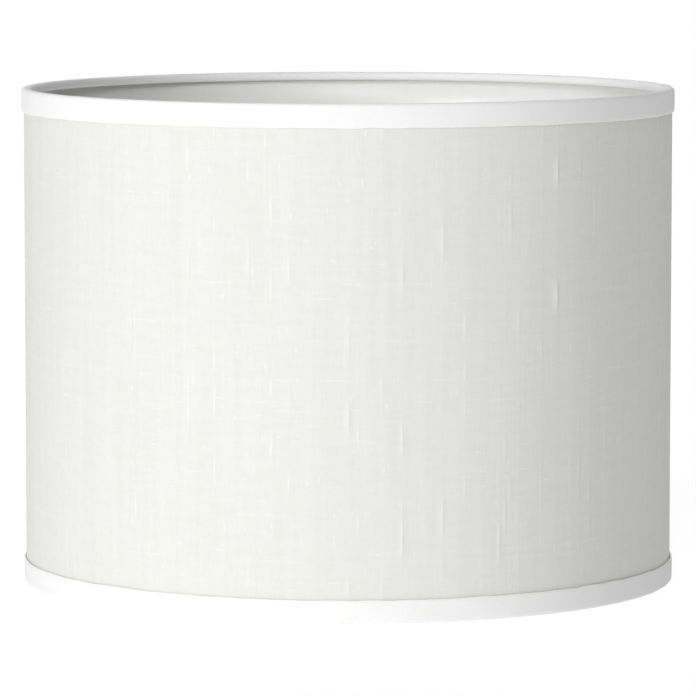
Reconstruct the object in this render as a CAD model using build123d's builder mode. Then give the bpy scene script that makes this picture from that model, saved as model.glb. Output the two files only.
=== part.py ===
"""Hardback drum lamp shade with a recessed bottom fitter. Millimetres, +Z up, origin at the centre of the
bottom rim's plane. The front faces -Y, and the lap seam is at the right-hand side."""

from build123d import *
from math import cos, degrees, radians, sin
import os

# Overall size
overall_diameter = 355.6
shade_height = 269.0

# Edge trim: a folded cotton tape round each rim
trim_width = 12.7
trim_thickness = 1.0
trim_edge_radius = 0.4
trim_glue_line = 0.2
rim_corner_radius = 1.6
trim_radius = overall_diameter / 2
trim_inner_radius = trim_radius - trim_thickness

# Wall: fabric bonded to a stiff liner, rolled and lapped at the seam
fabric_thickness = 0.45
bond_line = 0.05
liner_thickness = 0.4
lap_width = 10.0
lap_joggle = 6.0
lap_clearance = 0.3
strip_thickness = 0.1
strip_margin = 1.0
fabric_radius = trim_inner_radius - trim_glue_line
fabric_inner_radius = fabric_radius - fabric_thickness
liner_radius = fabric_inner_radius - bond_line
liner_inner_radius = liner_radius - liner_thickness
lap_step = liner_thickness + strip_thickness

# Wire rings inside the folds of the trims
wire_diameter = 2.6
ring_clearance = 0.1
wrap_inner_radius = wire_diameter / 2 + ring_clearance
wrap_radius = wrap_inner_radius + trim_thickness
ring_radius = liner_inner_radius - ring_clearance - wire_diameter / 2
ring_inset = wrap_radius
wall_bottom = ring_inset
wall_height = shade_height - 2 * ring_inset

# Fitter: a flat ring for the lampholder on three wire arms
fitter_bore_diameter = 42.0
fitter_outer_diameter = 58.0
fitter_thickness = 2.0
fitter_edge_radius = 0.5
fitter_height = 38.0
arm_diameter = 3.0
arm_count = 3
first_arm_angle = 30.0
arm_set_down = 0.3
arm_foot_length = 14.0
arm_head_length = 12.0
arm_bend_radius = 12.0
weld_bead_radius = 2.2
arm_snip_width = 6.0

# Where the seam is, counted from +X: at the side, just past the part seen from the front
seam_angle = 6.0


def arc_degrees(length):
    """The angle that an arc of this length takes on the wall."""
    return degrees(length / liner_radius)


def polar(radius, angle):
    """The plan point at this radius and angle."""
    return (radius * cos(radians(angle)), radius * sin(radians(angle)))


# The lap: the wall starts at lap_start, goes round once, steps out and laps over its own start
lap_start = seam_angle - arc_degrees(lap_width / 2)
lap_end = seam_angle + arc_degrees(lap_width / 2) + 360
step_end = lap_start + 360 - arc_degrees(lap_clearance)
step_start = step_end - arc_degrees(lap_joggle)


def arc_between(radius, first, last):
    """An arc about the shade's axis."""
    CenterArc((0, 0), radius, first, last - first)


def write(piece, name):
    """Labels a finished piece and writes its STEP file."""
    piece.part.label = name
    export_step(piece.part, f"parts/{name}.step")
    print(f"{name}: {piece.part.volume:.0f} mm3")


os.makedirs("parts", exist_ok=True)


# Liner: one rolled sheet whose outer end steps out over its bare starting margin
with BuildPart() as liner:
    with BuildSketch(Plane.XY.offset(wall_bottom)):
        with BuildLine():
            arc_between(liner_radius, lap_start, step_start)
            Line(polar(liner_radius, step_start), polar(liner_radius + lap_step, step_end))
            arc_between(liner_radius + lap_step, step_end, lap_end)
            Line(
                polar(liner_radius + lap_step, lap_end),
                polar(liner_inner_radius + lap_step, lap_end),
            )
            arc_between(liner_inner_radius + lap_step, step_end, lap_end)
            Line(
                polar(liner_inner_radius + lap_step, step_end),
                polar(liner_inner_radius, step_start),
            )
            arc_between(liner_inner_radius, lap_start, step_start)
            Line(polar(liner_inner_radius, lap_start), polar(liner_radius, lap_start))
        make_face()
    extrude(amount=wall_height)
write(liner, "liner")


# Fabric cover: starts past the bare margin, follows the liner's step and turns in over the liner's end
fabric_start = lap_end - 360 + arc_degrees(fabric_thickness + 2 * lap_clearance)
turn_start = lap_end + arc_degrees(bond_line)
turn_end = turn_start + arc_degrees(fabric_thickness)
turn_inner_radius = liner_inner_radius + lap_step
with BuildPart() as fabric_cover:
    with BuildSketch(Plane.XY.offset(wall_bottom)):
        with BuildLine():
            arc_between(fabric_radius, fabric_start, step_start)
            Line(polar(fabric_radius, step_start), polar(fabric_radius + lap_step, step_end))
            arc_between(fabric_radius + lap_step, step_end, turn_end)
            Line(polar(fabric_radius + lap_step, turn_end), polar(turn_inner_radius, turn_end))
            Line(polar(turn_inner_radius, turn_end), polar(turn_inner_radius, turn_start))
            Line(
                polar(turn_inner_radius, turn_start),
                polar(fabric_inner_radius + lap_step, turn_start),
            )
            arc_between(fabric_inner_radius + lap_step, step_end, turn_start)
            Line(
                polar(fabric_inner_radius + lap_step, step_end),
                polar(fabric_inner_radius, step_start),
            )
            arc_between(fabric_inner_radius, fabric_start, step_start)
            Line(polar(fabric_inner_radius, fabric_start), polar(fabric_radius, fabric_start))
        make_face()
    extrude(amount=wall_height)
write(fabric_cover, "fabric_cover")


# Seam strip: thin adhesive strip between the two ends of the liner
strip_start = lap_start + arc_degrees(strip_margin)
strip_end = lap_end - 360 - arc_degrees(strip_margin)
with BuildPart() as seam_strip:
    with BuildSketch(Plane.XY.offset(wall_bottom)):
        with BuildLine():
            arc_between(liner_radius, strip_start, strip_end)
            Line(
                polar(liner_radius, strip_end),
                polar(liner_radius + strip_thickness, strip_end),
            )
            arc_between(liner_radius + strip_thickness, strip_start, strip_end)
            Line(
                polar(liner_radius + strip_thickness, strip_start),
                polar(liner_radius, strip_start),
            )
        make_face()
    extrude(amount=wall_height)
write(seam_strip, "seam_strip")


# Wire rings, one in the fold of each trim
def build_ring(height):
    """A round wire ring at this height."""
    with BuildPart() as ring:
        with BuildSketch(Plane.XZ):
            with Locations((ring_radius, height)):
                Circle(wire_diameter / 2)
        revolve(axis=Axis.Z)
    return ring


bottom_ring = build_ring(ring_inset)
write(bottom_ring, "bottom_ring")
top_ring = build_ring(shade_height - ring_inset)
write(top_ring, "top_ring")


# Fitter ring: flat steel ring whose bore takes the lampholder
with BuildPart() as fitter_ring:
    with BuildSketch(Plane.XY.offset(fitter_height - fitter_thickness / 2)):
        Circle(fitter_outer_diameter / 2)
        Circle(fitter_bore_diameter / 2, mode=Mode.SUBTRACT)
    extrude(amount=fitter_thickness)
    outer_edges = fitter_ring.edges().filter_by(GeomType.CIRCLE).sort_by(SortBy.RADIUS)[-2:]
    fillet(outer_edges, radius=fitter_edge_radius)
write(fitter_ring, "fitter_ring")


# Fitter arms: bent wires lying on the bottom ring at their feet and butt-welded to the fitter ring
def build_arm(angle):
    """One arm, drawn in the XZ plane and turned to this angle."""
    foot_height = ring_inset + wire_diameter / 2 + arm_diameter / 2 - arm_set_down
    foot_radius = liner_inner_radius - lap_clearance
    fitter_radius = fitter_outer_diameter / 2
    with BuildPart() as wire:
        with BuildLine(Plane.XZ) as route:
            FilletPolyline(
                (foot_radius, foot_height),
                (foot_radius - arm_foot_length, foot_height),
                (fitter_radius + arm_head_length, fitter_height),
                (fitter_radius - 1, fitter_height),
                radius=arm_bend_radius,
            )
        with BuildSketch(Plane(origin=route.line @ 0, z_dir=route.line % 0)):
            Circle(arm_diameter / 2)
        sweep(path=route.line)
        with Locations((fitter_radius + 1, 0, fitter_height)):
            Sphere(weld_bead_radius)
        with Locations((0, 0, fitter_height)):
            Cylinder(fitter_radius, 4 * weld_bead_radius, mode=Mode.SUBTRACT)
        add(bottom_ring.part, mode=Mode.SUBTRACT)
    with BuildPart() as arm:
        add(wire.part, rotation=(0, 0, angle))
    return arm


for number in range(arm_count):
    angle = first_arm_angle + number * 360 / arm_count
    write(build_arm(angle), f"fitter_arm_{number + 1}")


# Trims: tape that runs up the outside of the wall, over the rim, round the wire and in under it
def build_trim(rim_plane, pocket_bottom):
    """One trim. Its section is drawn on rim_plane, with local X as the radius and local Y running from the
    rim into the shade. The lap of the wall presses a shallow pocket into the tape, from pocket_bottom up."""
    rim_flat_radius = trim_radius - rim_corner_radius
    rim_corner_inside = rim_corner_radius - trim_thickness
    tuck_radius = liner_inner_radius - ring_clearance
    tuck_outside = 2 * wrap_radius
    tuck_inside = tuck_outside - trim_thickness
    pocket_radius = fabric_radius + lap_step + ring_clearance
    pocket_width = 2 * (lap_width / 2 + lap_joggle + 2 * lap_clearance)
    with BuildPart() as trim:
        with BuildSketch(rim_plane) as section:
            with BuildLine():
                Line((trim_radius, trim_width), (trim_radius, rim_corner_radius))
                CenterArc((rim_flat_radius, rim_corner_radius), rim_corner_radius, 0, -90)
                Line((rim_flat_radius, 0), (ring_radius, 0))
                CenterArc((ring_radius, wrap_radius), wrap_radius, -90, -180)
                Line((ring_radius, tuck_outside), (tuck_radius, tuck_outside))
                Line((tuck_radius, tuck_outside), (tuck_radius, tuck_inside))
                Line((tuck_radius, tuck_inside), (ring_radius, tuck_inside))
                CenterArc((ring_radius, wrap_radius), wrap_inner_radius, -90, -180)
                Line((ring_radius, trim_thickness), (rim_flat_radius, trim_thickness))
                CenterArc((rim_flat_radius, rim_corner_radius), rim_corner_inside, 0, -90)
                Line((trim_inner_radius, rim_corner_radius), (trim_inner_radius, trim_width))
                Line((trim_inner_radius, trim_width), (trim_radius, trim_width))
            make_face()
            fillet(section.vertices().group_by(Axis.Y)[-1], radius=trim_edge_radius)
        revolve(axis=Axis.Z)
        with BuildSketch(Plane.XY.offset(pocket_bottom)):
            Circle(pocket_radius)
            Circle(fabric_radius - bond_line, mode=Mode.SUBTRACT)
            with Locations(polar(pocket_radius, seam_angle)):
                Rectangle(pocket_width, pocket_width, mode=Mode.INTERSECT)
        extrude(amount=trim_width, mode=Mode.SUBTRACT)
    return trim


pocket_inset = ring_inset - ring_clearance
top_rim_plane = Plane(origin=(0, 0, shade_height), x_dir=(1, 0, 0), z_dir=(0, 1, 0))
top_trim = build_trim(top_rim_plane, shade_height - pocket_inset - trim_width)
write(top_trim, "top_trim")

# The bottom tape's turned-in edge is snipped where each arm leaves the ring
snip_bottom = ring_inset + wire_diameter / 2 - arm_set_down - ring_clearance
with BuildPart() as bottom_trim:
    add(build_trim(Plane.XZ, pocket_inset).part)
    with BuildSketch(Plane.XY.offset(snip_bottom)):
        with PolarLocations(ring_radius, arm_count, start_angle=first_arm_angle):
            Rectangle(2 * wrap_radius + 2 * ring_clearance, arm_snip_width)
    extrude(amount=arm_diameter, mode=Mode.SUBTRACT)
write(bottom_trim, "bottom_trim")
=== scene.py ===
"""Hardback drum lamp shade: linen-look cover and styrene liner on two wire rings, bound with folded
cotton tape, on a white ring fitter.

Everything is in metres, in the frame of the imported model. Angles are about the shade's axis, and the front
of the shade is -Y."""

import math
import random

import bmesh
import bpy
import numpy as np
from mathutils import Matrix, Vector


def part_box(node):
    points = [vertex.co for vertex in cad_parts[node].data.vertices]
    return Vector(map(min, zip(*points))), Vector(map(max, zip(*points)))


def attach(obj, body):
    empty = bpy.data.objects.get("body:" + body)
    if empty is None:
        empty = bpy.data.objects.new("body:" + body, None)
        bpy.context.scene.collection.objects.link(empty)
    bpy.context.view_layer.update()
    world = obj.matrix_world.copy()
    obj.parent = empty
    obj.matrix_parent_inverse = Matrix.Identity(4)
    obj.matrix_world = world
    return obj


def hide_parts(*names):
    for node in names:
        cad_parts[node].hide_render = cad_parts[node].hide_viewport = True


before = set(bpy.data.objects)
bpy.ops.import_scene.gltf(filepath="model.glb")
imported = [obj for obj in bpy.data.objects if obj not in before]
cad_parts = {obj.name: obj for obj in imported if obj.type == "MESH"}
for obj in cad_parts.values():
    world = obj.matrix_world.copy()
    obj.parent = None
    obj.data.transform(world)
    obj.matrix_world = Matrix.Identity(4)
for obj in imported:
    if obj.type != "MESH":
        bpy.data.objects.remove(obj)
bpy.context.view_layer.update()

MM = 0.001
FULL_TURN = 2 * math.pi
FRONT = -math.pi / 2


def reach(node):
    """The largest distance of a CAD node's surface from the shade's axis."""
    return max(math.hypot(v.co.x, v.co.y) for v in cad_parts[node].data.vertices)


# Sizes of the sheet, tape and wire stock
lap_step = 0.5 * MM  # how far out the wall's end steps to lap over its start
lap_half_width = 5 * MM
lap_joggle = 6 * MM  # the length in which it steps out
lap_clearance = 0.3 * MM  # between the step and the start that it laps
linen_thickness = 0.45 * MM
linen_turn_gap = 0.6 * MM  # between the linen's start and its turned-in end
linen_overhang = 0.5 * MM  # the linen's end past the liner's, where it turns in
linen_corner_radius = 0.3 * MM
liner_thickness = 0.4 * MM
tape_thickness = 1.0 * MM
rim_corner_radius = 1.6 * MM
ring_clearance = 0.1 * MM
arm_radius = 1.5 * MM

# Sizes that the frame gives
tape_radius = reach("top_trim")
tape_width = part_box("bottom_trim")[1].z
shade_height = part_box("top_trim")[1].z
wall_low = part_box("fabric_cover")[0].z
wall_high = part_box("fabric_cover")[1].z
ring_reach = reach("top_ring")
wire_radius = (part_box("bottom_ring")[1].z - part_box("bottom_ring")[0].z) / 2
ring_radius = ring_reach - wire_radius
foot_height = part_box("fitter_arm_1")[0].z + arm_radius
seam_middle = (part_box("seam_strip")[0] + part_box("seam_strip")[1]) / 2
seam_angle = math.atan2(seam_middle.y, seam_middle.x)
linen_radius = reach("fabric_cover") - lap_step
liner_radius = reach("liner") - lap_step


# ---------------------------------------------------------------- shape helpers


def wobble(rng, waves, size):
    """A smooth random function of angle that closes after a full turn. waves is the lowest and the highest
    number of waves in it, and size its root mean square."""
    lowest, highest = waves
    counts = range(lowest, highest + 1)
    terms = [(k, rng.uniform(0.4, 1.0), rng.uniform(0, FULL_TURN)) for k in counts]
    scale = size / math.sqrt(sum(a * a for _, a, _ in terms) / 2)

    def value(angle):
        return scale * sum(a * np.cos(k * angle + phase) for k, a, phase in terms)

    return value


def smooth_step(value, start, end):
    """0 before start, 1 after end, and an S curve between them."""
    t = np.clip((value - start) / (end - start), 0, 1)
    return t * t * (3 - 2 * t)


def ring_points(radius, angle, height):
    """Points on the shade from arrays of radius, angle and height, with x, y, z as the last axis."""
    radius, angle, height = np.broadcast_arrays(radius, angle, height)
    return np.stack([radius * np.cos(angle), radius * np.sin(angle), height], axis=-1)


def turned_from(angle, centre):
    """The angle from centre, between half a turn back and half a turn on."""
    return (angle - centre + math.pi) % FULL_TURN - math.pi


def finish_mesh(name, shape, material):
    """A smooth shaded object of one material from a bmesh, which is freed."""
    mesh = bpy.data.meshes.new(name)
    shape.to_mesh(mesh)
    shape.free()
    mesh.shade_smooth()
    mesh.materials.append(material)
    piece = bpy.data.objects.new(name, mesh)
    bpy.context.scene.collection.objects.link(piece)
    return piece


def add_object(name, vertices, faces, material, values=None):
    """A mesh object from points and faces, smooth shaded, with its normals pointing out. values holds lists
    of one number per point, by name, for the material to read."""
    mesh = bpy.data.meshes.new(name)
    mesh.from_pydata([tuple(v) for v in vertices], [], faces)
    for key, data in (values or {}).items():
        mesh.attributes.new(key, "FLOAT", "POINT").data.foreach_set("value", data)
    shape = bmesh.new()
    shape.from_mesh(mesh)
    bpy.data.meshes.remove(mesh)
    bmesh.ops.recalc_face_normals(shape, faces=shape.faces)
    return finish_mesh(name, shape, material)


def quads(rows, columns, first=0, closed=False):
    """Faces of a grid of points laid out row by row. A closed grid joins its last column to its first."""
    steps = columns if closed else columns - 1
    return [
        (
            first + r * columns + c,
            first + r * columns + (c + 1) % columns,
            first + (r + 1) * columns + (c + 1) % columns,
            first + (r + 1) * columns + c,
        )
        for r in range(rows - 1)
        for c in range(steps)
    ]


def add_rolled_sheet(name, outer, inner, material, values=None):
    """A closed sheet from its outer grid and its inner grid, whose rows may be fewer."""
    rows, columns = outer.shape[:2]
    inner_rows = inner.shape[0]
    first_inner = rows * columns
    faces = quads(rows, columns)
    faces += [face[::-1] for face in quads(inner_rows, columns, first_inner)]
    last_row = (rows - 1) * columns
    last_inner = first_inner + (inner_rows - 1) * columns
    for c in range(columns - 1):
        faces.append((c + 1, c, first_inner + c, first_inner + c + 1))
        faces.append((last_row + c, last_row + c + 1, last_inner + c + 1, last_inner + c))
    for c in (0, columns - 1):
        outer_edge = [r * columns + c for r in range(rows)]
        inner_edge = [first_inner + r * columns + c for r in range(inner_rows)]
        faces.append(tuple(outer_edge + inner_edge[::-1]))
    vertices = np.concatenate([outer.reshape(-1, 3), inner.reshape(-1, 3)])
    return add_object(name, vertices, faces, material, values)


# ---------------------------------------------------------------- material helpers


class Surface:
    """One material and short calls that add nodes to it."""

    def __init__(self, name):
        self.material = bpy.data.materials.new(name)
        self.material.use_nodes = True
        self.tree = self.material.node_tree
        self.shader = self.tree.nodes["Principled BSDF"]
        self.position = self.add("ShaderNodeTexCoord").outputs["Object"]

    def add(self, kind, inputs=None, **settings):
        """A node with settings, whose inputs are given values or joined to other nodes' outputs."""
        node = self.tree.nodes.new(kind)
        for key, value in settings.items():
            setattr(node, key, value)
        for socket, value in (inputs or {}).items():
            self.join(node.inputs[socket], value)
        return node

    def join(self, socket, value):
        """Links another node's output to a socket, or sets the socket to a fixed value."""
        if isinstance(value, bpy.types.NodeSocket):
            self.tree.links.new(value, socket)
        else:
            socket.default_value = value

    def math(self, operation, *values):
        node = self.add("ShaderNodeMath", operation=operation)
        for socket, value in zip(node.inputs, values):
            self.join(socket, value)
        return node.outputs[0]

    def remap(self, value, low, high, to_low=0.0, to_high=1.0, smooth=False):
        """value stretched from low..high to to_low..to_high, and held there."""
        kind = "SMOOTHSTEP" if smooth else "LINEAR"
        ends = {1: low, 2: high, 3: to_low, 4: to_high}
        node = self.add("ShaderNodeMapRange", {0: value, **ends}, interpolation_type=kind)
        return node.outputs[0]

    def mix(self, factor, first, second, blend="MIX"):
        """Two colours mixed."""
        inputs = {0: factor, 6: first, 7: second}
        return self.add("ShaderNodeMix", inputs, data_type="RGBA", blend_type=blend).outputs[2]

    def vector(self, x, y, z=0.0):
        return self.add("ShaderNodeCombineXYZ", {0: x, 1: y, 2: z}).outputs[0]

    def scaled(self, across, along, per_across, per_along):
        """A place on the shade's surface, in a texture's units per metre."""
        u = self.math("MULTIPLY", across, per_across)
        v = self.math("MULTIPLY", along, per_along)
        return self.vector(u, v)

    def blend(self, first, first_share, second, second_share):
        """Two values added in the given shares."""
        first_part = self.math("MULTIPLY", first, first_share)
        second_part = self.math("MULTIPLY", second, second_share)
        return self.math("ADD", first_part, second_part)

    def tint(self, colour, other, mask, strength):
        """colour taken towards another where mask is 1, by no more than strength."""
        return self.mix(self.math("MULTIPLY", mask, strength), colour, other)

    def noise(self, where, scale=1.0, detail=2.0, roughness=0.5):
        """Noise of about 0 to 1 at a place given in the texture's own units."""
        inputs = {"Vector": where, "Scale": scale, "Detail": detail, "Roughness": roughness}
        return self.add("ShaderNodeTexNoise", inputs).outputs[0]

    def wrapped(self, radius):
        """(distance round the shade, height) of the shaded point, in metres."""
        split = self.add("ShaderNodeSeparateXYZ", {0: self.position}).outputs
        turn = self.math("ARCTAN2", split[1], split[0])
        return self.math("MULTIPLY", turn, radius), split[2]

    def bump(self, height, distance, strength, under=None):
        """A normal for fine relief, on top of an earlier one if that is given."""
        inputs = {"Height": height, "Distance": distance, "Strength": strength}
        if under is not None:
            inputs["Normal"] = under
        return self.add("ShaderNodeBump", inputs).outputs[0]

    def finish(self, colour, roughness, normal=None, fixed=None):
        """Joins what varies to the shader, and sets the fixed values on its own sockets."""
        self.join(self.shader.inputs["Base Color"], colour)
        self.join(self.shader.inputs["Roughness"], roughness)
        if normal is not None:
            self.join(self.shader.inputs["Normal"], normal)
        for socket, value in (fixed or {}).items():
            self.shader.inputs[socket].default_value = value
        return self.material


def woven(surface, across, along, pitch, unevenness):
    """A plain weave of yarns that are thicker and thinner along their length, no two alike. Returns its
    height, of 0 to 1, and the tones of the warp and of the weft, whose highest values are short thick
    places."""
    warp_row_step = 7.31  # far enough apart in the noise that neighbouring yarns differ
    weft_row_step = 5.87
    weft_layer = 9.0  # a part of the noise that the warp does not use
    change_per_yarn = 0.11  # slow enough that a thick place passes under several yarns
    u = surface.math("DIVIDE", across, pitch)
    v = surface.math("DIVIDE", along, pitch)
    warp_row = surface.math("MULTIPLY", surface.math("FLOOR", u), warp_row_step)
    weft_row = surface.math("MULTIPLY", surface.math("FLOOR", v), weft_row_step)
    along_warp = surface.math("MULTIPLY", v, change_per_yarn)
    along_weft = surface.math("MULTIPLY", u, change_per_yarn)
    warp_tone = surface.noise(surface.vector(warp_row, along_warp), roughness=0.6)
    weft_tone = surface.noise(surface.vector(along_weft, weft_row, weft_layer), roughness=0.6)
    sine_u = surface.math("SINE", surface.math("MULTIPLY", u, math.pi))
    sine_v = surface.math("SINE", surface.math("MULTIPLY", v, math.pi))
    warp_on_top = surface.math("GREATER_THAN", surface.math("MULTIPLY", sine_u, sine_v), 0.0)
    round_u = surface.math("ABSOLUTE", sine_u)
    round_v = surface.math("ABSOLUTE", sine_v)

    def crossing(side, length, tone):
        """The top of one yarn over another: round across the yarn, longer along it."""
        round_side = surface.math("POWER", side, 0.8)
        long_top = surface.math("POWER", length, 0.3)
        body = surface.math("MULTIPLY", round_side, long_top)
        thickness = surface.remap(tone, 0.3, 0.7, 1.0 - unevenness, 1.0)
        return surface.math("MULTIPLY", body, thickness)

    warp = crossing(round_u, round_v, warp_tone)
    weft = crossing(round_v, round_u, weft_tone)
    top_yarn = surface.add("ShaderNodeMix", {0: warp_on_top, 2: weft, 3: warp}, data_type="FLOAT")
    return top_yarn.outputs[0], warp_tone, weft_tone


def gaps(surface, weave):
    """1 in the holes between yarns and 0 on the yarns: the mask for the painted shade in those holes."""
    return surface.remap(weave, 0.12, 0.5, 1.0, 0.0, smooth=True)


# ---------------------------------------------------------------- materials


def linen_material():
    """Off-white plain weave with uneven yarns, and painted shade in the holes between them. The mesh's slub
    value marks its thick places.
    """
    yarns_round = 1300
    dull_yarn = (0.739, 0.742, 0.712, 1)
    clean_yarn = (0.763, 0.766, 0.736, 1)
    streak_shade = (0.960, 0.960, 0.958, 1)
    patch_shade = (0.978, 0.978, 0.976, 1)
    # painted shade: the colour that the holes between yarns are darkened towards
    painted_gap_shade = (0.62, 0.624, 0.588, 1)
    nub_colour = (0.82, 0.82, 0.795, 1)
    slub_colour = (0.85, 0.85, 0.83, 1)
    yarn_relief = 0.10 * MM

    s = Surface("linen")
    across, along = s.wrapped(linen_radius)
    pitch = FULL_TURN * linen_radius / yarns_round
    weave, warp_tone, weft_tone = woven(s, across, along, pitch, unevenness=0.5)
    tone = s.blend(warp_tone, 0.6, weft_tone, 0.4)
    colour = s.mix(s.remap(tone, 0.36, 0.64), dull_yarn, clean_yarn)

    streaks = s.noise(s.scaled(across, along, 210.0, 7.0), detail=3.0, roughness=0.6)
    colour = s.mix(s.remap(streaks, 0.3, 0.7), colour, streak_shade, "MULTIPLY")
    patches = s.noise(s.scaled(across, along, 60.0, 260.0), roughness=0.6)
    colour = s.mix(s.remap(patches, 0.3, 0.7), colour, patch_shade, "MULTIPLY")
    # Painted shade: the holes between the yarns are darkened, standing in for the shade that falls into
    # them.
    colour = s.tint(colour, painted_gap_shade, gaps(s, weave), 0.12)

    nub = s.math("MAXIMUM", s.remap(warp_tone, 0.66, 0.76), s.remap(weft_tone, 0.67, 0.77))
    slub = s.add("ShaderNodeAttribute", attribute_name="slub").outputs["Fac"]
    colour = s.tint(colour, nub_colour, nub, 0.6)
    colour = s.tint(colour, slub_colour, slub, 0.55)

    smoother_on_slub = s.math("SUBTRACT", 1.0, s.math("MULTIPLY", slub, 0.6))
    body = s.math("MULTIPLY", weave, smoother_on_slub)
    height = s.math("ADD", body, s.math("MULTIPLY", nub, 1.5))
    return s.finish(
        colour,
        s.remap(weave, 0.0, 1.0, 0.96, 0.84),
        s.bump(height, yarn_relief, 0.4),
        {"Sheen Weight": 0.06, "Sheen Roughness": 0.5, "Specular IOR Level": 0.25},
    )


def tape_material():
    """White pressed cotton tape, with painted shade in the holes between its yarns. The mesh's girth value
    runs along the tape's section, in metres.
    """
    yarns_round = 2600
    dull_yarn = (0.845, 0.845, 0.842, 1)
    clean_yarn = (0.885, 0.885, 0.885, 1)
    # painted shade: the colour that the holes between yarns are darkened towards
    painted_gap_shade = (0.76, 0.76, 0.755, 1)
    handled_colour = (0.835, 0.832, 0.822, 1)
    crease_relief = 0.25 * MM
    yarn_relief = 0.07 * MM

    s = Surface("cotton tape")
    across, _ = s.wrapped(tape_radius)
    girth = s.add("ShaderNodeAttribute", attribute_name="girth").outputs["Fac"]
    pitch = FULL_TURN * tape_radius / yarns_round
    weave, warp_tone, weft_tone = woven(s, across, girth, pitch, unevenness=0.3)
    tone = s.blend(warp_tone, 0.5, weft_tone, 0.5)
    colour = s.mix(s.remap(tone, 0.36, 0.64), dull_yarn, clean_yarn)
    # Painted shade: the holes between the tape's yarns are darkened, standing in for the shade that falls
    # into them.
    colour = s.tint(colour, painted_gap_shade, gaps(s, weave), 0.35)
    handling = s.noise(s.position, scale=60.0, detail=4.0, roughness=0.6)
    colour = s.tint(colour, handled_colour, s.remap(handling, 0.45, 0.75), 0.35)
    creases = s.noise(s.scaled(across, girth, 260.0, 90.0), detail=3.0)
    soft = s.bump(creases, crease_relief, 0.5)
    return s.finish(
        colour,
        s.remap(weave, 0.0, 1.0, 0.9, 0.76),
        s.bump(weave, yarn_relief, 0.7, under=soft),
        {"Sheen Weight": 0.08, "Sheen Roughness": 0.4, "Specular IOR Level": 0.3},
    )


def styrene_material():
    """Smooth white sheet with faint upright rolling marks."""
    dull_white = (0.825, 0.827, 0.820, 1)
    clean_white = (0.860, 0.862, 0.857, 1)
    rolling_relief = 0.25 * MM
    grain_relief = 0.015 * MM

    s = Surface("styrene")
    across, along = s.wrapped(liner_radius)
    streaks = s.noise(s.scaled(across, along, 150.0, 4.0), detail=3.0, roughness=0.6)
    cloud = s.noise(s.position, scale=18.0, detail=3.0)
    tone = s.blend(streaks, 0.5, cloud, 0.5)
    colour = s.mix(s.remap(tone, 0.35, 0.65), dull_white, clean_white)
    grain = s.noise(s.position, scale=2600.0)
    rolled = s.bump(streaks, rolling_relief, 0.35)
    return s.finish(
        colour,
        s.remap(grain, 0.3, 0.7, 0.34, 0.42),
        s.bump(grain, grain_relief, 0.5, under=rolled),
        {"Specular IOR Level": 0.45},
    )


def powder_coat_material():
    """White powder coat with an orange-peel skin, uneven in tone and with small grey specks."""
    dull_white = (0.78, 0.78, 0.775, 1)
    clean_white = (0.83, 0.83, 0.825, 1)
    speck_colour = (0.55, 0.55, 0.545, 1)
    peel_relief = 0.06 * MM

    s = Surface("white powder coat")
    patches = s.noise(s.position, scale=120.0, detail=4.0, roughness=0.6)
    colour = s.mix(s.remap(patches, 0.35, 0.65), dull_white, clean_white)
    specks = s.noise(s.position, scale=700.0, detail=4.0, roughness=0.7)
    colour = s.tint(colour, speck_colour, s.remap(specks, 0.66, 0.74), 0.4)
    peel = s.noise(s.position, scale=900.0)
    return s.finish(
        colour,
        s.remap(peel, 0.3, 0.7, 0.34, 0.48),
        s.bump(peel, peel_relief, 0.6),
        {"Coat Weight": 0.15, "Coat Roughness": 0.25},
    )


def adhesive_material():
    """Thin clouded adhesive strip."""
    dull_film = (0.76, 0.755, 0.71, 1)
    clean_film = (0.82, 0.815, 0.78, 1)
    film_relief = 0.05 * MM

    s = Surface("adhesive strip")
    cloud = s.noise(s.position, scale=300.0, detail=3.0)
    colour = s.mix(s.remap(cloud, 0.3, 0.7), dull_film, clean_film)
    roughness = s.remap(cloud, 0.3, 0.7, 0.25, 0.45)
    return s.finish(colour, roughness, s.bump(cloud, film_relief, 0.4))


def floor_material():
    """Plain pale studio floor: a white light table, which is lit a little from within."""
    dull_grey = (0.39, 0.39, 0.39, 1)
    clean_grey = (0.41, 0.41, 0.41, 1)
    glow = {"Emission Color": (1, 1, 1, 1), "Emission Strength": 0.74, "Specular IOR Level": 0.0}

    s = Surface("studio floor")
    cloud = s.noise(s.position, scale=1.5, detail=3.0)
    colour = s.mix(cloud, dull_grey, clean_grey)
    return s.finish(colour, s.remap(cloud, 0.3, 0.7, 0.85, 0.95), fixed=glow)


# ---------------------------------------------------------------- wall: liner and linen


def on_wall(distance):
    """The angle of a distance along the wall."""
    return distance / linen_radius


lap_start = seam_angle - on_wall(lap_half_width)
lap_end = seam_angle + FULL_TURN + on_wall(lap_half_width)
step_end = lap_start + FULL_TURN - on_wall(lap_clearance)
step_start = step_end - on_wall(lap_joggle)
step_bend = on_wall(2 * MM)
step_lines = [step_start, step_start + step_bend, step_end - step_bend, step_end]
linen_start = seam_angle + on_wall(lap_half_width + linen_thickness + linen_turn_gap)
linen_end = lap_end + on_wall(linen_overhang)

wall_rng = random.Random(11)
wall_wave = wobble(wall_rng, (5, 30), 0.07 * MM)
wall_wave_high = wobble(wall_rng, (4, 16), 0.06 * MM)


def wall_offset(angle, height):
    """How far the rolled wall stands in or out from a true cylinder. The rings hold it at the rims."""
    t = np.clip((height - wall_low) / (wall_high - wall_low), 0, 1)
    free = np.sin(math.pi * t) ** 0.7
    return free * (wall_wave(angle) + wall_wave_high(angle) * np.cos(math.pi * t))


def lapped(radius, angle):
    """The radius of a rolled sheet that steps out before it laps over its own start."""
    return radius + lap_step * smooth_step(angle, step_start, step_end)


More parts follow.
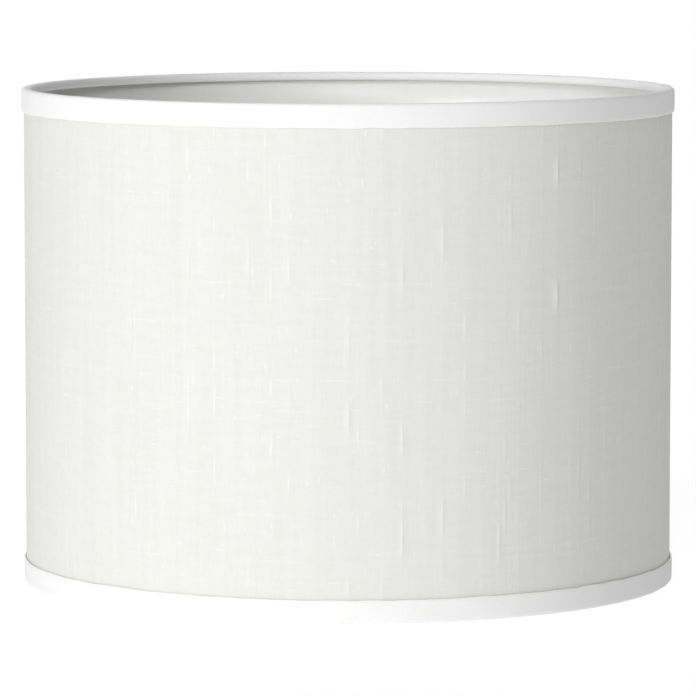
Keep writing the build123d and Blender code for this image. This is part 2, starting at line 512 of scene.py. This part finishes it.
def build_liner(material):
    """The rolled styrene sheet."""
    columns = 300
    rows = 16
    even = list(np.linspace(lap_start, lap_end, columns))
    angles = np.array(sorted(even + step_lines))
    heights = np.linspace(wall_low, wall_high, rows)[:, None]
    offset = wall_offset(angles, heights)
    outer = ring_points(lapped(liner_radius, angles) + offset, angles, heights)
    inner = ring_points(lapped(liner_radius - liner_thickness, angles) + offset, angles, heights)
    return add_rolled_sheet("styrene_liner", outer, inner, material)


class Slubs:
    """The thick places of one yarn: where the yarn lies, its half width, and each place's (centre, half
    length, height) along it."""

    def __init__(self, rng, where, extent, count, lengths, heights):
        self.where = where
        self.half_width = rng.uniform(0.45, 0.75) * MM
        self.ridge = rng.uniform(0.0, 0.015) * MM
        self.places = []
        for _ in range(count):
            centre = rng.uniform(*extent)
            half_length = rng.uniform(*lengths) / 2
            self.places.append((centre, half_length, rng.uniform(*heights)))

    def lines(self, to_angle=1.0):
        """Grid lines that carry the yarn's raised section."""
        return [self.where + side * self.half_width * to_angle for side in (-1.0, -0.4, 0.4, 1.0)]

    def height(self, distance, along):
        """The yarn's height at a distance from its centre, and at a place along it."""
        thick = np.full_like(along, self.ridge)
        for centre, half_length, height in self.places:
            taper = np.clip(1 - ((along - centre) / half_length) ** 2, 0, 1) ** 1.5
            thick = np.maximum(thick, self.ridge + height * taper)
        return thick * (1 - smooth_step(np.abs(distance) / self.half_width, 0.45, 0.98))


def spread_places(rng, first, last, fixed, total, spacing):
    """Random places between first and last, added to the fixed ones, none closer than spacing."""
    places = list(fixed)
    while len(places) < total:
        place = rng.uniform(first, last)
        if all(abs(place - other) > spacing for other in places):
            places.append(place)
    return sorted(places)


def grid_lines(first, last, pitch, slubs, to_angle=1.0):
    """Evenly pitched lines, without those that crowd a slubby yarn, and the lines of the yarns."""
    even = np.linspace(first, last, round((last - first) / (pitch * to_angle)) + 1)
    clear = 1.5 * MM * to_angle
    free = [x for x in even if all(abs(x - s.where) > clear for s in slubs) or x in (first, last)]
    return free + [line for s in slubs for line in s.lines(to_angle)]


def slubby_warps(rng):
    """The upright yarns that show slubs. A few in front, at bearings in degrees, are bold."""
    bold_bearings = (-39, -28, -23, -17, -13, -10, 0, 1.6, 9, 16, 20, 38)
    bold_places = [FRONT + FULL_TURN + math.radians(bearing) for bearing in bold_bearings]
    first = linen_start + on_wall(4 * MM)
    last = step_start - on_wall(4 * MM)
    warps = []
    for place in spread_places(rng, first, last, bold_places, 90, on_wall(2.6 * MM)):
        if place in bold_places:
            count = rng.randint(3, 6)
            lengths = (9 * MM, 27 * MM)
            heights = (0.07 * MM, 0.15 * MM)
        else:
            count = rng.randint(4, 11)
            lengths = (2.5 * MM, 13 * MM)
            heights = (0.02 * MM, 0.09 * MM)
        warps.append(Slubs(rng, place, (wall_low, wall_high), count, lengths, heights))
    return warps


def slubby_wefts(rng):
    """The level yarns that show slubs. Two have many."""
    busy_places = [wall_low + share * (wall_high - wall_low) for share in (0.47, 0.63)]
    first = wall_low + 14 * MM
    last = wall_high - 14 * MM
    round_shade = (linen_start * linen_radius, linen_end * linen_radius)
    wefts = []
    for place in spread_places(rng, first, last, busy_places, 20, 4 * MM):
        count = rng.randint(30, 38) if place in busy_places else rng.randint(10, 22)
        wefts.append(Slubs(rng, place, round_shade, count, (3 * MM, 14 * MM), (0.02 * MM, 0.09 * MM)))
    return wefts


def slub_relief(angles, heights, warps, wefts):
    """How far the slubs stand out, on the grid of angles and heights."""
    relief = np.zeros((heights.shape[0], angles.shape[0]))
    for yarn in warps:
        distance = (angles - yarn.where) * linen_radius
        near = np.abs(distance) <= yarn.half_width
        relief[:, near] = np.maximum(relief[:, near], yarn.height(distance[near], heights))
    for yarn in wefts:
        distance = heights - yarn.where
        near = np.abs(distance[:, 0]) <= yarn.half_width
        raised = yarn.height(distance[near], angles[None, :] * linen_radius)
        relief[near] = np.maximum(relief[near], raised)
    return relief


def build_linen(material):
    """The linen cover: a rolled sheet with raised slubs on single yarns, upright and level, and its outer
    end turned in over the liner's end."""
    rng = random.Random(7)
    warps = slubby_warps(rng)
    wefts = slubby_wefts(rng)
    turn_length = 0.455 * MM
    turn_lines = [linen_end - on_wall(x * MM) for x in (0.46, 0.45, 0.3, 0.15, 0.05)]
    upright_lines = grid_lines(linen_start, linen_end, 3.5 * MM, warps, on_wall(1.0))
    angles = np.array(sorted(upright_lines + turn_lines + step_lines[1:]))
    heights = np.array(sorted(grid_lines(wall_low, wall_high, 4.2 * MM, wefts)))[:, None]

    relief = slub_relief(angles, heights, warps, wefts)
    offset = wall_offset(angles, heights)
    from_end = (linen_end - angles) * linen_radius
    corner = np.clip(1 - from_end / linen_corner_radius, 0, 1)
    rounding = linen_corner_radius * (1 - np.sqrt(1 - corner**2))
    outer_radius = lapped(linen_radius, angles) - rounding + offset + relief
    outer = ring_points(outer_radius, angles, heights)

    flat_back = lapped(linen_radius - linen_thickness, angles)
    turned_back = liner_radius - liner_thickness + lap_step
    inner_radius = np.where(from_end < turn_length, turned_back, flat_back)
    end_rows = np.array([0, -1])
    inner = ring_points(inner_radius + offset[end_rows], angles, heights[end_rows])

    full_slub = 0.15 * MM
    shown_slub = np.clip(relief / full_slub, 0, 1).ravel()
    slub = np.concatenate([shown_slub, np.zeros(inner.shape[0] * inner.shape[1])])
    return add_rolled_sheet("linen_cover", outer, inner, material, {"slub": slub})


# ---------------------------------------------------------------- edge tapes

wrap_radius = wire_radius + ring_clearance + tape_thickness
half_tape = tape_thickness / 2
roll_radius = wrap_radius - half_tape
corner_radius = rim_corner_radius - half_tape
corner_middle = tape_radius - rim_corner_radius
tuck_length = liner_radius - liner_thickness - ring_clearance - ring_radius
leg_end = tape_width - rim_corner_radius
corner_end = leg_end + corner_radius * math.pi / 2
flat_end = corner_end + corner_middle - ring_radius
roll_end = flat_end + roll_radius * math.pi
tape_girth = roll_end + tuck_length


def tape_section(girth, offset):
    """(radius, distance in from the rim) of a point at girth along the tape's middle, from its outer edge
    over the rim and round the wire, and offset out from that middle."""
    corner = (girth - leg_end) / corner_radius
    roll = (girth - flat_end) / roll_radius
    parts = [girth < leg_end, girth < corner_end, girth < flat_end, girth < roll_end, girth >= roll_end]
    radius = np.select(
        parts,
        [
            tape_radius - half_tape + offset,
            corner_middle + (corner_radius + offset) * np.cos(corner),
            corner_middle - (girth - corner_end),
            ring_radius - (roll_radius + offset) * np.sin(roll),
            ring_radius + (girth - roll_end),
        ],
    )
    inset = np.select(
        parts,
        [
            tape_width - girth,
            rim_corner_radius - (corner_radius + offset) * np.sin(corner),
            half_tape - offset,
            wrap_radius - (roll_radius + offset) * np.cos(roll),
            wrap_radius + roll_radius + offset,
        ],
    )
    return radius, inset


def tape_loop():
    """The tape's closed section, as (share of the girth, how far past that end of it, side) rows. The last
    two are in half thicknesses, and side is 1 on the outside and -1 on the inside."""
    stops = np.concatenate(
        [
            np.linspace(half_tape, leg_end, 8),
            np.linspace(leg_end, corner_end, 7)[1:],
            np.linspace(flat_end, roll_end, 14),
            [tape_girth - half_tape],
        ]
    )
    shares = (stops - half_tape) / (tape_girth - 2 * half_tape)
    bends = np.radians([30, 60, 90, 120, 150])
    outer = [(share, 0.0, 1.0) for share in shares]
    tuck_cap = [(1.0, math.sin(b), math.cos(b)) for b in bends]
    inner = [(share, 0.0, -1.0) for share in shares[::-1]]
    edge_cap = [(0.0, -math.sin(b), -math.cos(b)) for b in bends]
    return np.array(outer + tuck_cap + inner + edge_cap)


def tape_angles(joint, snips):
    """The angles of a tape's sections: even ones, and closer ones at its joint and its snips."""
    round_step = 1.8 * MM / tape_radius
    snip_step = 0.4 * MM / tape_radius
    mm_from_joint = [-6.5, -5.5, -4, -2, 4.5, 4.8, 5.0, 5.15, 5.3, 5.5, 6]
    at_snips = [snip + k * snip_step for snip in snips for k in range(-11, 12)]
    at_joint = [joint + place * MM / tape_radius for place in mm_from_joint]
    close = [angle % FULL_TURN for angle in at_snips + at_joint]
    even = np.arange(0, FULL_TURN, round_step)
    kept = [a for a in even if all(abs(a - b) > 0.5 * round_step for b in close)]
    return np.array(sorted(kept + close))[:, None]


def joint_lift(angles, joint):
    """0 to 1: how far the tape is lifted by its own other end, which it laps."""
    along = turned_from(angles, joint) * tape_radius
    slope_up = smooth_step(along, -6.5 * MM, -3 * MM)
    cut_end = smooth_step(along, 4.9 * MM, 5.3 * MM)
    return slope_up * (1 - cut_end)


def snipped_girth(angles, snips):
    """Where the tape's turned-in edge ends: nearer the roll in a snip, which clears an arm."""
    snip_depth = 4.6 * MM
    girth_end = np.full_like(angles, tape_girth)
    for snip in snips:
        apart = np.abs(turned_from(angles, snip) * tape_radius)
        girth_end = girth_end - snip_depth * (1 - smooth_step(apart, 1.9 * MM, 3.6 * MM))
    return girth_end


def build_tape(name, material, seed, upward, joint, snips=()):
    """A tape folded over a rim. upward is 1 at the bottom rim and -1 at the top one. joint is the angle of
    its lapped ends, and snips are the angles where its turned-in edge is cut for an arm."""
    rng = random.Random(seed)
    edge_wave = wobble(rng, (9, 60), 0.10 * MM)
    leg_wave = wobble(rng, (6, 44), 0.05 * MM)
    puckers = wobble(rng, (90, 170), 0.09 * MM)
    slack = wobble(rng, (8, 40), 0.06 * MM)
    joint_rise = 0.55 * MM
    leg_belly = 0.05 * MM
    edge_press = 0.10 * MM
    rim_hold = 0.75  # the share of the slack that is pressed flat on the rim

    angles = tape_angles(joint, snips)
    girth_end = snipped_girth(angles, snips)
    share, cap, side = tape_loop().T
    girth = half_tape + share * (girth_end - 2 * half_tape) + cap * half_tape

    folded_in = smooth_step(girth, corner_end, roll_end)
    past_corner = smooth_step(girth, leg_end, corner_end)
    on_rim = past_corner * (1 - smooth_step(girth, flat_end, flat_end + corner_radius))
    between_edges = np.sin(math.pi * share)
    loose = joint_lift(angles, joint) * joint_rise
    loose = loose + (puckers(angles) * folded_in + slack(angles)) * between_edges
    outside = np.clip(side, 0, 1)
    offset = side * half_tape + outside * loose * (1 - rim_hold * on_rim)
    radius, inset = tape_section(girth, offset)

    on_leg = np.clip(1 - girth / leg_end, 0, 1)
    mid_leg = on_leg * (1 - on_leg) * 4
    radius = radius + mid_leg * (leg_wave(angles) + leg_belly) - on_leg**3 * edge_press
    inset = inset + on_leg * edge_wave(angles)
    height = inset if upward > 0 else shade_height - inset
    points = ring_points(radius, angles, height)
    rows, columns = points.shape[:2]
    faces = quads(rows, columns, closed=True)
    last_row = (rows - 1) * columns
    faces += [(last_row + c, last_row + (c + 1) % columns, (c + 1) % columns, c) for c in range(columns)]
    return add_object(name, points.reshape(-1, 3), faces, material, {"girth": girth.ravel()})


# ---------------------------------------------------------------- fitter details


def build_foot_weld(name, angle, material, seed):
    """The small lumpy weld where an arm's foot lies across the bottom ring. It shows at both sides of the
    arm."""
    rng = random.Random(seed)
    lumps = [Vector([rng.uniform(-1, 1) for _ in range(3)]).normalized() for _ in range(7)]
    lump_swell = 0.10
    sunk = 0.3 * MM
    half_size = Vector((1.5 * MM, 2.5 * MM, 1.0 * MM))
    centre = Vector((ring_radius - sunk, 0, foot_height - arm_radius + sunk))
    shape = bmesh.new()
    bmesh.ops.create_icosphere(shape, subdivisions=4, radius=1.0)
    for v in shape.verts:
        swell = 1 + lump_swell * sum(max(0, v.co.dot(lump)) ** 6 for lump in lumps)
        v.co = Vector([swell * c * s for c, s in zip(v.co, half_size)]) + centre
    bmesh.ops.rotate(shape, verts=shape.verts, matrix=Matrix.Rotation(angle, 3, "Z"))
    return finish_mesh(name, shape, material)


def coat_node(name, material):
    """Gives a CAD node its finish."""
    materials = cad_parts[name].data.materials
    materials.clear()
    materials.append(material)


# ---------------------------------------------------------------- studio


def build_floor(material):
    """A large pale floor, level with the bottom rim."""
    half_width = 30.0
    rim_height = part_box("bottom_trim")[0].z
    shape = bmesh.new()
    bmesh.ops.create_grid(shape, x_segments=40, y_segments=40, size=half_width)
    bmesh.ops.translate(shape, verts=shape.verts, vec=(0, 0, rim_height))
    return finish_mesh("floor", shape, material)


def add_sun(name, bearing, elevation, strength, spread=22):
    """A soft sun lamp. Its angles are in degrees, and its bearing is from the front, positive to the
    right."""
    lamp = bpy.data.lights.new(name, "SUN")
    lamp.energy = strength
    lamp.angle = math.radians(spread)
    turn = math.radians(bearing)
    rise = math.radians(elevation)
    level = math.cos(rise)
    source = Vector((math.sin(turn) * level, -math.cos(turn) * level, math.sin(rise)))
    sun = bpy.data.objects.new(name, lamp)
    sun.rotation_mode = "QUATERNION"
    sun.rotation_quaternion = source.to_track_quat("Z", "Y")
    bpy.context.scene.collection.objects.link(sun)


def light_studio():
    """A low key from the front left, a high fill in front, a back light and a wide top light."""
    add_sun("key", bearing=-42, elevation=6, strength=2.0)
    add_sun("fill", bearing=-1, elevation=40, strength=0.96)
    add_sun("back", bearing=182, elevation=22, strength=1.0, spread=40)
    add_sun("top", bearing=0, elevation=89.9, strength=0.90, spread=60)
    world = bpy.data.worlds.new("studio")
    world.use_nodes = True
    background = world.node_tree.nodes["Background"]
    background.inputs["Color"].default_value = (1, 1, 1, 1)
    background.inputs["Strength"].default_value = 0.01
    bpy.context.scene.world = world
    bpy.context.scene.view_settings.view_transform = "Standard"


def place_camera():
    """A long lens straight in front, a little above the shade and tilted down."""
    distance = 2.8006
    height = 0.4077
    tilt_down = 5.748
    data = bpy.data.cameras.new("camera")
    data.sensor_width = 36
    data.lens = 265.6
    data.clip_end = 200
    camera = bpy.data.objects.new("camera", data)
    camera.location = (0, -distance, height)
    camera.rotation_euler = (math.radians(90 - tilt_down), 0, 0)
    bpy.context.scene.collection.objects.link(camera)
    bpy.context.scene.camera = camera


# ---------------------------------------------------------------- the shade

first_arm = 30
arm_spacing = 120
arm_angles = {f"fitter_arm_{n + 1}": math.radians(first_arm + arm_spacing * n) for n in range(3)}

linen = linen_material()
tape = tape_material()
styrene = styrene_material()
powder_coat = powder_coat_material()
adhesive = adhesive_material()

liner = build_liner(styrene)
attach(liner, "root")
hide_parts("liner")

cover = build_linen(linen)
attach(cover, "root")
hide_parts("fabric_cover")

top_tape = build_tape("top_tape", tape, 21, -1, seam_angle)
bottom_tape = build_tape("bottom_tape", tape, 22, 1, seam_angle, arm_angles.values())
rims = [
    (top_tape, "top_trim", "top_ring"),
    (bottom_tape, "bottom_trim", "bottom_ring"),
]
for band, trim, ring in rims:
    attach(band, "root")
    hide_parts(trim)

for seed, (arm, angle) in enumerate(arm_angles.items()):
    weld = build_foot_weld(arm + "_foot_weld", angle, powder_coat, 40 + seed)
    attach(weld, "root")

for wire_node in ("top_ring", "bottom_ring", "fitter_ring", *arm_angles):
    coat_node(wire_node, powder_coat)
coat_node("seam_strip", adhesive)

build_floor(floor_material())
light_studio()
place_camera()
